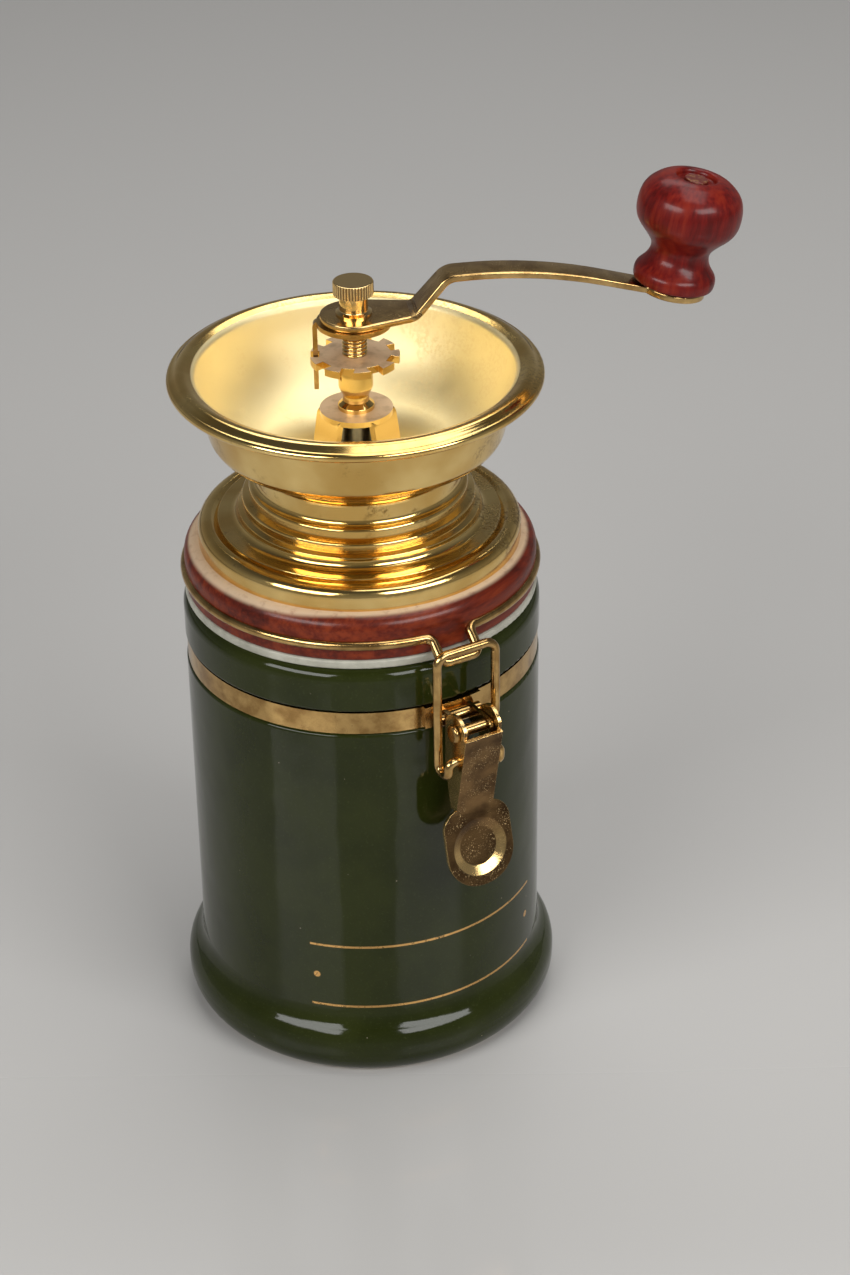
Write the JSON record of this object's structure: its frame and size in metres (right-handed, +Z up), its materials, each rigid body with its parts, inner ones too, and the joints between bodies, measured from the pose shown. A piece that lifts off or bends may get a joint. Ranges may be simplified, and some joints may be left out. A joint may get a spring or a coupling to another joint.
{
  "type": "hand crank coffee grinder",
  "caption": "Coffee mill with a glazed ceramic jar, hinged wooden lid under a wire bail clamp, open brass hopper, conical burrs and a bowed crank with a turned wooden knob.",
  "frame": {"origin": "centre of the jar's flat base, on the table", "axes": "+Z up along the jar's axis, -Y towards the clamp at the front, +X to the right seen from the front"},
  "size_m": [0.1439, 0.115, 0.2346],
  "materials": {
    "jar_glaze": "glossy dark olive glaze",
    "varnished_wood": "varnished red-brown hardwood",
    "seal_ring": "pale soft ring",
    "plated_steel": "brass plated, slightly pitted",
    "brass": "polished and spun",
    "cast_iron": "bare casting",
    "bare_steel": "turned"
  },
  "bodies": {
    "jar": {"ceramic_jar": "jar_glaze", "clamp_band": "plated_steel", "clamp_bracket": "plated_steel", "band_roll": "plated_steel", "lever_rivet": "plated_steel", "hinge_bracket": "plated_steel", "hinge_rivets": "plated_steel"},
    "lid": {"wooden_lid": "varnished_wood", "lid_seal": "seal_ring", "lid_wire": "plated_steel", "base_flange": "brass", "hopper_bowl": "brass", "bearing_bridge": "brass", "bridge_rivets": "brass", "shaft_bush": "brass", "burr_housing": "cast_iron", "outer_burr": "cast_iron", "lower_bridge": "cast_iron", "housing_screws": "bare_steel", "lower_bridge_screws": "bare_steel"},
    "crank": {"drive_shaft": "bare_steel", "inner_burr": "cast_iron", "burr_spring": "bare_steel", "burr_nut": "bare_steel", "ball_collar": "brass", "star_wheel": "brass", "stop_plate": "brass", "crank_arm": "plated_steel", "knob_axle": "plated_steel", "knob_washer": "plated_steel"},
    "knob": {"wooden_knob": "varnished_wood"},
    "nut": {"thumb_nut": "brass"},
    "lever": {"clamp_lever": "plated_steel"},
    "link": {"clamp_link": "plated_steel"}
  },
  "joints": [
    {"name": "lid_hinge", "type": "hinge", "parent": "jar", "child": "lid", "pos_m": [0, 0.05, 0.128], "axis": [-1, 0, 0], "range_deg": [0, 95]},
    {"name": "crank_spin", "type": "hinge", "parent": "lid", "child": "crank", "pos_m": [0, 0, 0.177], "axis": [0, 0, 1], "continuous": true},
    {"name": "knob_spin", "type": "hinge", "parent": "crank", "child": "knob", "pos_m": [0.07547, -0.03049, 0.20452], "axis": [0.1769, -0.0715, 0.9816], "continuous": true},
    {"name": "thumb_nut_turn", "type": "hinge", "parent": "crank", "child": "nut", "pos_m": [0, 0, 0.2032], "axis": [0, 0, 1], "continuous": true},
    {"name": "lever_swing", "type": "hinge", "parent": "jar", "child": "lever", "pos_m": [0, -0.0572, 0.111], "axis": [-1, 0, 0], "range_deg": [0, 110]},
    {"name": "link_swing", "type": "hinge", "parent": "lever", "child": "link", "pos_m": [0, -0.05858, 0.10368], "axis": [-1, 0, 0], "range_deg": [-140, 0]}
  ],
  "couplings": [
    {"joint": "link_swing", "follows": "lever_swing", "ratio": -1.25}
  ]
}
